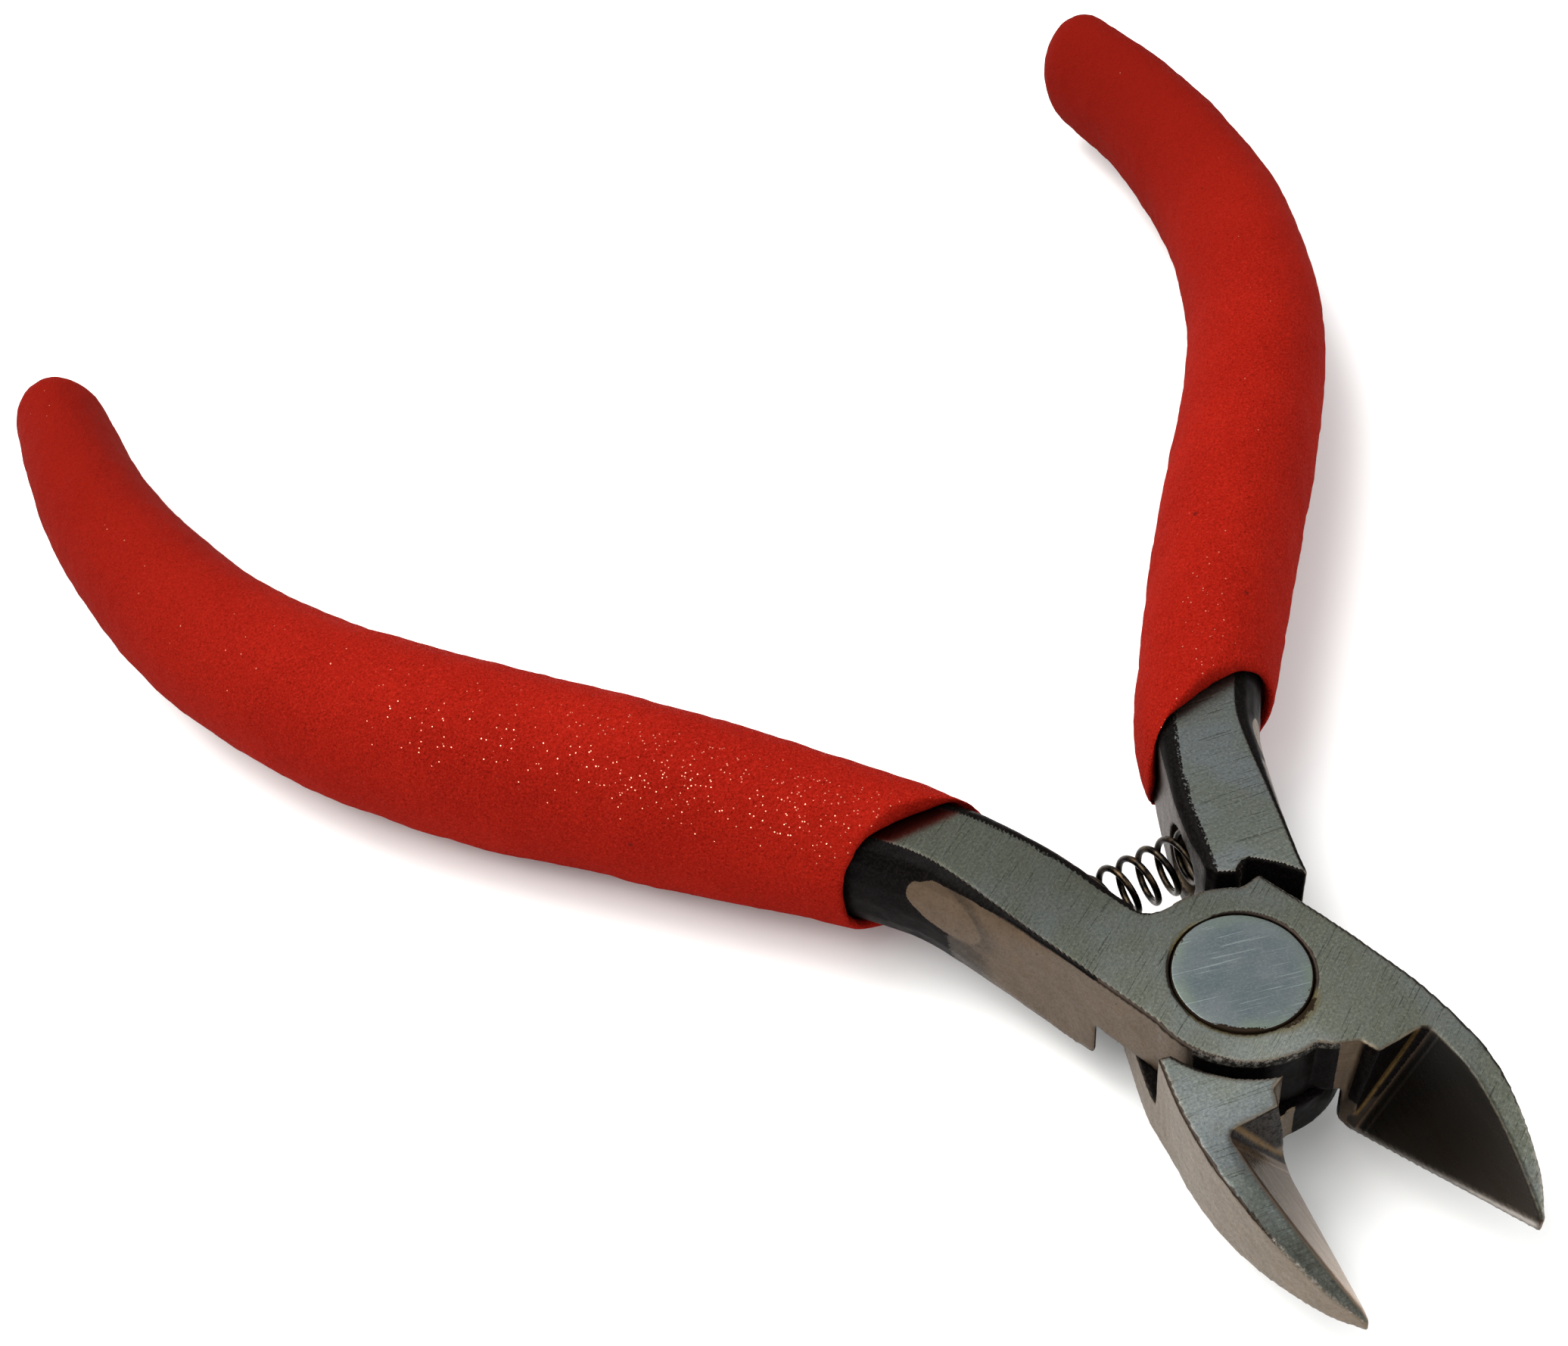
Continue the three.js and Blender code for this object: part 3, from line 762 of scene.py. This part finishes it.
def bevel_root(s, cut):
    """The wall at the bevel's root with its golden line, their corner, and a thin crease line on the
    bevel that gets a painted highlight.
    """
    up = np.array(BEVEL_UP)
    from_root = s.points - np.array(BEVEL_ROOT)
    off_line = from_root - (from_root @ up)[:, None] * up
    to_corner = np.linalg.norm(off_line, axis=1)
    above_root = ramp(s.z, 0.9, 1.3)
    faces_front = ramp(s.normals @ np.array(WALL_NORMAL), 0.75, 0.9)
    wall = below(to_corner, 1.0, 1.2) * (1 - cut) * faces_front * above_root
    line_at = 0.16 + 0.42 * np.clip(s.z / 7.8, 0, 1)
    golden = wall * near(to_corner, line_at, 0.07, 0.24)
    corner = below(to_corner, 0.3, 0.5) * above_root
    crease_highlight = cut * near(to_corner, 1.0, 0.04, 0.14)
    return wall, golden, corner, crease_highlight


def rivet_stain(s):
    """A dark seam round the rivet, and patches of grime beside it."""
    seam = below(s.radius, 4.26, 4.3)
    soiled = near(s.angle, 225, 20, 50) + 0.6 * near(s.angle, 112, 10, 30)
    ring = 0.74 * below(s.radius, 4.32, 4.75) * soiled
    return seam + ring + 0.85 * below(s.radius, 4.35, 5.3) * near(s.angle, 287, 8, 36)


def painted_light_of(s, ground, cut, crease_highlight):
    """Painted light and shade: brightness, where 1 leaves the colour as it is.

    The upper half is painted darker along its tang and the lower half towards its nose, both get a
    painted gleam in front of the rivet, the bevels are painted brighter towards their tips and along
    a crease line, and the crest between jaw top and bevel is painted darker.
    """
    if s.upper:
        gleam = 0.42 * np.exp(-((s.x + 1.5) ** 2) / 14 - (s.y + 5.6) ** 2 / 5)
        flat = 0.54 + 0.4 * below(s.y, -2, 12) + gleam
    else:
        gleam = 0.24 * np.exp(-((s.y + 6.5) ** 2) / 4)
        flat = 0.88 + 0.14 * below(s.y, 6, 10) - 0.12 * below(s.y, -10, -6) + gleam
        flat = flat - 0.3 * below(s.y, -17, -11)
    bevel = 1 + (1.2 if s.upper else 0.55) * below(s.y, -20, -13) + 1.2 * crease_highlight
    painted_light = ground * flat + cut * bevel + np.clip(1 - ground - cut, 0, 1)
    crest = ramp(s.proud, 0.002, 0.005) * ramp(s.along_bevel, 0.55, 0.7) * below(s.y, -8.6, -8.0)
    return painted_light * (1 - (0.6 if s.upper else 0.25) * crest)


def paint(mesh, upper):
    """Attributes for the steel's finish."""
    s = Surface(mesh, upper)
    flat_top, ground, cut = find_ground(s)
    joint_black, rim, notch = joint_scale(s, cut)
    tang_black, eaten, dull = tang_scale(s, flat_top)
    wall, golden, corner, crease_highlight = bevel_root(s, cut)

    level = ramp(s.lying, 0.98, 0.992) * np.maximum(s.at_top, s.at_bottom)
    not_ground = 1 - ground
    oxide = np.maximum(np.maximum(joint_black, tang_black) * (1 - level), eaten)
    if upper:
        oxide = np.maximum(oxide, wall * not_ground)
    # dirt and painted shade together: the dull patches, the notch, the bevel's corner and the dull
    # edge lines
    dirt_and_shade = np.maximum(strongest(dull, notch, corner) * not_ground, edge_patina(s))
    if not upper:
        # the lower jaw's top is darker towards its nose
        jaw_top = 0.46 * ground * ramp(s.nz, 0.6, 0.85) * below(s.y, -16.5, -12)
        dirt_and_shade = np.maximum(dirt_and_shade, jaw_top)

    # the land is the narrow upright strip along the cutting edge
    land = below(s.nx, -0.95, -0.85) * below(s.y, -8.8, -8.3) * below(s.lying, 0.2, 0.4)

    # bright edges, partly wear and partly painted highlight: a painted ridge highlight at the jaw's
    # tip, and a speckled band above the upper disc's rim
    wear_and_highlight = ramp(s.proud, 0.003, 0.008) * ramp(s.nx, 0.05, 0.2) * ramp(s.nz, 0.2, 0.4)
    wear_and_highlight = wear_and_highlight * below(s.y, -15.5, -13.5)
    if upper:
        wear_and_highlight = np.maximum(wear_and_highlight, 0.5 * rim * ramp(s.z, 7.65, 7.8) * (s.angle < 300))

    # painted shade and red reflection of the foam's lip on the flat top beside the grip's mouth
    (mouth_x, mouth_y), slope = LEFT_MOUTH if upper else RIGHT_MOUTH
    to_mouth = mouth_y + MOUTH_ARCH + slope * (s.x - mouth_x) - s.y
    beside_mouth = below(to_mouth, 0.2, 1.5) if upper else 0.5 * below(to_mouth, 0.0, 0.9)

    set_attribute(mesh, "lip_shade_and_reflection", flat_top * beside_mouth)
    set_attribute(mesh, "ground", ground)
    set_attribute(mesh, "oxide", oxide)
    set_attribute(mesh, "cut", cut)
    set_attribute(mesh, "rust", golden * not_ground)
    set_attribute(mesh, "wear_and_highlight", wear_and_highlight)
    set_attribute(mesh, "land", land * (1 - cut))
    set_attribute(mesh, "dirt_and_shade", dirt_and_shade)
    set_attribute(mesh, "stain", rivet_stain(s))
    set_attribute(mesh, "painted_light", painted_light_of(s, ground, cut, crease_highlight) / PAINTED_LIGHT_RANGE)


def roughened(mesh):
    """Small unevenness of the forging, everywhere but on the ground faces and the bevel."""
    points, normals = mesh_arrays(mesh)
    machined = np.maximum(get_attribute(mesh, "ground"), get_attribute(mesh, "cut"))
    depth = 0.016 * noise(points, 1.1, 3) + 0.012 * noise(points, 0.45, 4)
    depth = depth * (1 - machined) - 0.012
    set_points(mesh, points + normals * depth[:, None])


def steel_half(node, body, upper, material):
    mesh = refined(node)
    s = Surface(mesh, upper)
    points = rounded_stop(s) if upper else worn_edge(s) * (-1, 1, 1)
    set_points(mesh, points)
    paint(mesh, upper)
    roughened(mesh)
    mesh.transform(Matrix.Scale(MM, 4))
    obj = new_object(node + "_steel", mesh, material)
    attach(obj, body)
    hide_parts(node)


# ---------------------------------------------------------------- Rivet and spring


def rivet(body, material):
    """Flush rivet: flat heads with a broken edge, and the shank between them."""
    flat = [(r, 0) for r in (0.02, 1.6, 2.9, 3.3, 3.6, 3.8)]
    edge = [(3.9, 0.002), (4.0, 0.004), (4.06, 0.006), (4.12, 0.009), (4.15, 0.013)]
    edge += [(RIVET_RADIUS - 0.035, 0.035), (RIVET_RADIUS, 0.09), (RIVET_RADIUS, RIVET_LAND)]
    head = flat + edge + [(RIVET_SHANK_RADIUS, RIVET_DEPTH)]
    profile = head + [(r, THICKNESS - down) for r, down in head[::-1]]
    turns = np.linspace(0, 2 * math.pi, RIVET_SIDES, endpoint=False)
    rows = np.array([[(r * math.cos(a), r * math.sin(a), THICKNESS - down) for a in turns]
                     for r, down in profile[::-1]])
    mesh = grid_mesh("rivet", rows)
    points, _ = mesh_arrays(mesh)
    radius = np.hypot(points[:, 0], points[:, 1])
    angle = np.degrees(np.arctan2(points[:, 1], points[:, 0])) % 360
    shrink = 1 + 0.004 * noise(points, 1.3, 7) * ramp(radius, 3.9, 4.15)
    points[:, :2] *= shrink[:, None]
    set_points(mesh, points)
    soiled = near(angle, 232, 10, 38) + 0.6 * near(angle, 118, 8, 30) + 0.5 * near(angle, 300, 15, 40)
    stain = (0.1 + 0.76 * soiled) * ramp(radius, RIVET_RADIUS - 0.6, RIVET_RADIUS - 0.1)
    seam = ramp(radius, 4.11, 4.16)
    set_attribute(mesh, "stain", np.maximum(stain, seam))
    set_attribute(mesh, "rim", ramp(radius, 2.9, 4.0))
    mesh.transform(Matrix.Scale(MM, 4))
    obj = new_object("rivet_head", mesh, material)
    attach(obj, body)
    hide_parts("rivet")


def spring(material):
    """A right-handed coil of round wire between the tangs."""
    turned = np.linspace(0, 1, SPRING_TURNS * STEPS_PER_TURN + 1) * SPRING_TURNS
    angle = math.radians(SPRING_START_ANGLE) + turned * 2 * math.pi
    middle = np.stack([
        SPRING_START + SPRING_PITCH * turned,
        SPRING_Y + SPRING_RADIUS * np.cos(angle),
        MID_HEIGHT + SPRING_RADIUS * np.sin(angle),
    ], axis=1)
    along = np.gradient(middle, axis=0)
    along /= np.linalg.norm(along, axis=1)[:, None]
    out = np.stack([np.zeros_like(angle), np.cos(angle), np.sin(angle)], axis=1)
    out -= (out * along).sum(1)[:, None] * along
    out /= np.linalg.norm(out, axis=1)[:, None]
    side = np.cross(along, out)
    around = np.linspace(0, 2 * math.pi, WIRE_SIDES, endpoint=False)[None, :, None]
    section = np.cos(around) * out[:, None, :] + np.sin(around) * side[:, None, :]
    mesh = grid_mesh("spring", middle[:, None, :] + WIRE_RADIUS * section)
    mesh.transform(Matrix.Scale(MM, 4))
    obj = new_object("return_spring_coil", mesh, material)
    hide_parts("return_spring")
    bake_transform(obj)


# ---------------------------------------------------------------- Grips


class Handle:
    """The left handle's axis, and sections across it. Distances run along the axis."""

    def __init__(self):
        fine = catmull(HANDLE_POINTS, CURVE_SAMPLES)
        run = np.concatenate([[0], np.cumsum(np.linalg.norm(np.diff(fine, axis=0), axis=1))])
        self.run = np.linspace(0, run[-1], AXIS_SAMPLES)
        self.centre = np.stack([np.interp(self.run, run, fine[:, i]) for i in (0, 1)], axis=1)
        along = np.gradient(self.centre, axis=0)
        self.along = along / np.linalg.norm(along, axis=1)[:, None]
        self.length = run[-1]
        around = np.linspace(0, 2 * math.pi, GRIP_COLUMNS, endpoint=False)
        self.across, self.height = np.cos(around), np.sin(around)

    def at(self, distance):
        """The axis's place and direction in plan."""
        place = [np.interp(distance, self.run, self.centre[:, i]) for i in (0, 1)]
        along = [np.interp(distance, self.run, self.along[:, i]) for i in (0, 1)]
        along = np.stack(along, axis=-1)
        return np.stack(place, axis=-1), along / np.linalg.norm(along, axis=-1, keepdims=True)

    def section(self, distance, wide, high):
        """A point for each column, at its distance and with its half-sizes."""
        place, along = self.at(distance)
        side = np.stack([-along[..., 1], along[..., 0]], axis=-1)
        flat = place + side * (wide * self.across)[..., None]
        return np.concatenate([flat, (MID_HEIGHT + high * self.height)[..., None]], axis=-1)

    def outer(self, distance):
        """The grip's outer surface."""
        share = distance / self.length
        return self.section(distance, half_size(GRIP_WIDTHS, share), half_size(GRIP_HEIGHTS, share))


def half_size(points, share):
    fine = catmull(points, SIZE_SAMPLES)
    return np.interp(share, fine[:, 0], fine[:, 1])


def mouth_distance(handle, mirrored, mouth):
    """How far along the handle each column meets the slanted, arched and slightly ragged mouth."""
    tries = np.linspace(0, FURTHEST_MOUTH, MOUTH_TRIES)
    table = np.stack([handle.outer(np.full(GRIP_COLUMNS, t)) for t in tries])
    arch = MOUTH_ARCH * np.abs(handle.height) ** 1.6
    (mouth_x, mouth_y), slope = mouth
    beyond = table[..., 1] - (mouth_y + slope * (table[..., 0] - mouth_x) + arch)
    start = np.array([np.interp(0, beyond[:, i], tries) for i in range(GRIP_COLUMNS)])
    ring = np.stack([3 * handle.across, 3 * handle.height, np.zeros(GRIP_COLUMNS)], axis=1)
    return start + 0.12 * noise(ring, 1.1, 11 + mirrored) + 0.06 * noise(ring, 0.33, 13 + mirrored)


def bore_finder(handle, mirrored, steel_node):
    """A function that gives the bore's points at a distance, a little clear of the CAD steel."""
    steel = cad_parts[steel_node].data
    tree = BVHTree.FromPolygons([v.co / MM for v in steel.vertices],
                                [tuple(p.vertices) for p in steel.polygons])
    columns = np.arange(GRIP_COLUMNS)
    flip = Matrix.Scale(-1 if mirrored else 1, 3, (1, 0, 0))

    def bore(distance):
        place, along = handle.at(distance)
        found = np.full(GRIP_COLUMNS, np.nan)
        for i in columns:
            across = handle.across[i]
            out = Vector((-along[i, 1] * across, along[i, 0] * across, handle.height[i]))
            origin = Vector((*place[i], MID_HEIGHT))
            hit = tree.ray_cast(flip @ origin, (flip @ out).normalized(), 9)
            if hit[0] is not None:
                found[i] = hit[3]
        good = ~np.isnan(found)
        found = np.interp(columns, columns[good], found[good], period=GRIP_COLUMNS)
        return handle.section(distance, found + BORE_GAP, found + BORE_GAP)

    return bore


def grip_rows(steel_node, mirrored, mouth):
    """Loops of points from inside the bore, round the lip, along the grip and over its end."""
    handle = Handle()
    start = mouth_distance(handle, mirrored, mouth)
    bore = bore_finder(handle, mirrored, steel_node)
    rows = [bore(start + depth) for depth in np.linspace(BORE_DEPTH, 0.9, BORE_ROWS)]

    first = start + LIP_REACH
    lip_inner, lip_outer = bore(first), handle.outer(first)
    _, along = handle.at(start)
    forward = np.concatenate([along, np.zeros((GRIP_COLUMNS, 1))], axis=1)
    for t in np.radians(np.linspace(0, 180, LIP_ROWS)):
        inward = (1 + math.copysign(abs(math.cos(t)) ** LIP_ROUNDNESS, math.cos(t))) / 2
        push = -LIP_REACH * max(math.sin(t), 0.0) ** LIP_ROUNDNESS
        rows.append(lip_inner * inward + lip_outer * (1 - inward) + forward * push)

    for share in np.arange(1, GRIP_ROWS + 1) / GRIP_ROWS:
        rows.append(handle.outer(first + (handle.length - first) * share))

    wide, high = half_size(GRIP_WIDTHS, 1.0), half_size(GRIP_HEIGHTS, 1.0)
    end = np.full(GRIP_COLUMNS, handle.length)
    _, along = handle.at(end)
    for t in np.radians(np.linspace(5, 88, END_ROWS)):
        cap = handle.section(end, wide * math.cos(t), high * math.cos(t))
        cap[:, :2] += along * END_CAP * math.sin(t)
        rows.append(cap)
    return np.array(rows)


def foam_skin(mesh, mirrored):
    """Waves, dimples and grain outside the bore, where the foam gets partly painted glints, and where
    it is darker towards its end.
    """
    points, normals = mesh_arrays(mesh)
    row = (np.arange(len(points)) // GRIP_COLUMNS).astype(float)
    outside = ramp(row, BORE_ROWS, BORE_ROWS + 6)
    depth = 0.11 * noise(points, 7, 21 + mirrored) + 0.07 * noise(points, 2.6, 23 + mirrored)
    depth += 0.045 * noise(points, 1.1, 25 + mirrored) + 0.03 * noise(points, 0.55, 27 + mirrored)
    set_points(mesh, points + normals * ((depth - 0.12) * outside)[:, None])

    _, normals = mesh_arrays(mesh)
    # the band of partly painted glints, where the foam faces one way, sparser on the right grip
    toward = normals @ np.array(GLINT_NORMAL)
    share = row / GRIP_ROWS
    if mirrored:
        glint = (0.2 + 0.5 * below(share, 0.02, 0.42)) * ramp(toward, 0.55, 0.95)
    else:
        glint = (0.3 + 0.7 * below(share, 0.05, 0.75)) * ramp(toward, 0.62, 0.97)
    set_attribute(mesh, "glint", glint * outside)
    set_attribute(mesh, "end_darkening", (0.95 if mirrored else 0.75) * ramp(share, 0.45, 1.02))


def grip(name, node, steel_node, body, mirrored, mouth, material):
    """One foam sleeve. The right one is the left one mirrored, with a mouth of its own."""
    rows = grip_rows(steel_node, mirrored, mouth)
    if mirrored:
        rows = (rows * (-1, 1, 1))[:, ::-1]
    mesh = grid_mesh(name, rows, closed_start=False)
    bm = bmesh.new()
    bm.from_mesh(mesh)
    bmesh.ops.recalc_face_normals(bm, faces=bm.faces)
    bm.to_mesh(mesh)
    bm.free()
    mesh.update()
    foam_skin(mesh, mirrored)
    mesh.transform(Matrix.Scale(MM, 4))
    obj = new_object(name, mesh, material)
    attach(obj, body)
    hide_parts(node)


# ---------------------------------------------------------------- Making the object

# the upper half's bevel colour is painted far darker than the lower's: a painted reflection of dark
# surroundings
upper_steel = steel_material(
    "ground_steel_upper", degrees=34,
    green=(0.106, 0.113, 0.088), blue=(0.124, 0.134, 0.124),
    bevel_reflection_colour=(0.026, 0.0235, 0.0205), side_colour=(0.08, 0.055, 0.036))
lower_steel = steel_material(
    "ground_steel_lower", degrees=-5,
    green=(0.112, 0.122, 0.102), blue=(0.126, 0.14, 0.14),
    bevel_reflection_colour=(0.235, 0.167, 0.12), side_colour=(0.112, 0.083, 0.056))
steel_half("upper_half", "upper", True, upper_steel)
steel_half("lower_half", "lower", False, lower_steel)
rivet("upper", rivet_material())
spring(spring_material())
foam = grip_material()
grip("left_grip_foam", "left_grip", "upper_half", "upper", False, LEFT_MOUTH, foam)
grip("right_grip_foam", "right_grip", "lower_half", "lower", True, RIGHT_MOUTH, foam)

# ---------------------------------------------------------------- Studio

# Places and sizes here are in metres.
FLOOR_HALF = 3.0
FLOOR_GAP = 0.00005
SKY_COLOUR = (0.97, 0.98, 1.0, 1)
SKY_STRENGTH = 0.72

floor_mesh = bpy.data.meshes.new("floor")
corner_signs = ((-1, -1), (1, -1), (1, 1), (-1, 1))
floor_corners = [(x * FLOOR_HALF, y * FLOOR_HALF, 0) for x, y in corner_signs]
floor_mesh.from_pydata(floor_corners, [], [(0, 1, 2, 3)])
floor = new_object("floor", floor_mesh, floor_material(), smooth=False)
floor.location.z = cad_box[0][2] - FLOOR_GAP

world = bpy.data.worlds.new("studio")
bpy.context.scene.world = world
world.use_nodes = True
sky = world.node_tree.nodes["Background"]
sky.inputs["Color"].default_value = SKY_COLOUR
sky.inputs["Strength"].default_value = SKY_STRENGTH


def softbox(name, place, target, size, power, colour=(1, 1, 1)):
    light = bpy.data.lights.new(name, "AREA")
    light.shape = "RECTANGLE"
    light.size, light.size_y = size
    light.energy = power
    light.color = colour
    obj = bpy.data.objects.new(name, light)
    bpy.context.scene.collection.objects.link(obj)
    obj.location = place
    obj.rotation_mode = "QUATERNION"
    obj.rotation_quaternion = (Vector(target) - Vector(place)).to_track_quat("-Z", "Y")


softbox("key", (-0.35, 0.15, 0.55), (0, 0.03, 0), (0.6, 0.5), 4.6, (1, 0.985, 0.96))
softbox("fill", (0.45, -0.35, 0.4), (0, 0.02, 0), (0.7, 0.6), 2.1, (1, 0.99, 0.97))
softbox("back", (-0.12, 0.3, 0.5), (-0.02, 0.03, 0), (0.36, 0.36), 2.6)

# The camera stands to the left in front of the jaws and looks down between the handles.
CAMERA_AIM = (-0.00321, 0.03879, 0.0041)
CAMERA_DISTANCE = 0.15956
CAMERA_TURN = math.radians(-26.2)
CAMERA_RISE = math.radians(46.39)
CAMERA_ROLL = math.radians(-3.99)
SENSOR_WIDTH = 36
LENS = 51.67
LENS_SHIFT = (-0.0616, -0.0234)

camera_data = bpy.data.cameras.new("camera")
camera_data.sensor_width = SENSOR_WIDTH
camera_data.lens = LENS
camera_data.shift_x, camera_data.shift_y = LENS_SHIFT
camera_data.clip_start = 0.01
camera_data.clip_end = 20
camera = bpy.data.objects.new("camera", camera_data)
bpy.context.scene.collection.objects.link(camera)
away = Vector((math.sin(CAMERA_TURN) * math.cos(CAMERA_RISE),
               -math.cos(CAMERA_TURN) * math.cos(CAMERA_RISE),
               math.sin(CAMERA_RISE)))
right = Vector((0, 0, 1)).cross(away).normalized()
facing = Matrix((right, away.cross(right), away)).transposed().to_4x4()
camera.matrix_world = (Matrix.Translation(Vector(CAMERA_AIM) + CAMERA_DISTANCE * away) @ facing
                       @ Matrix.Rotation(CAMERA_ROLL, 4, "Z"))
bpy.context.scene.camera = camera
bpy.context.scene.view_settings.view_transform = "Standard"
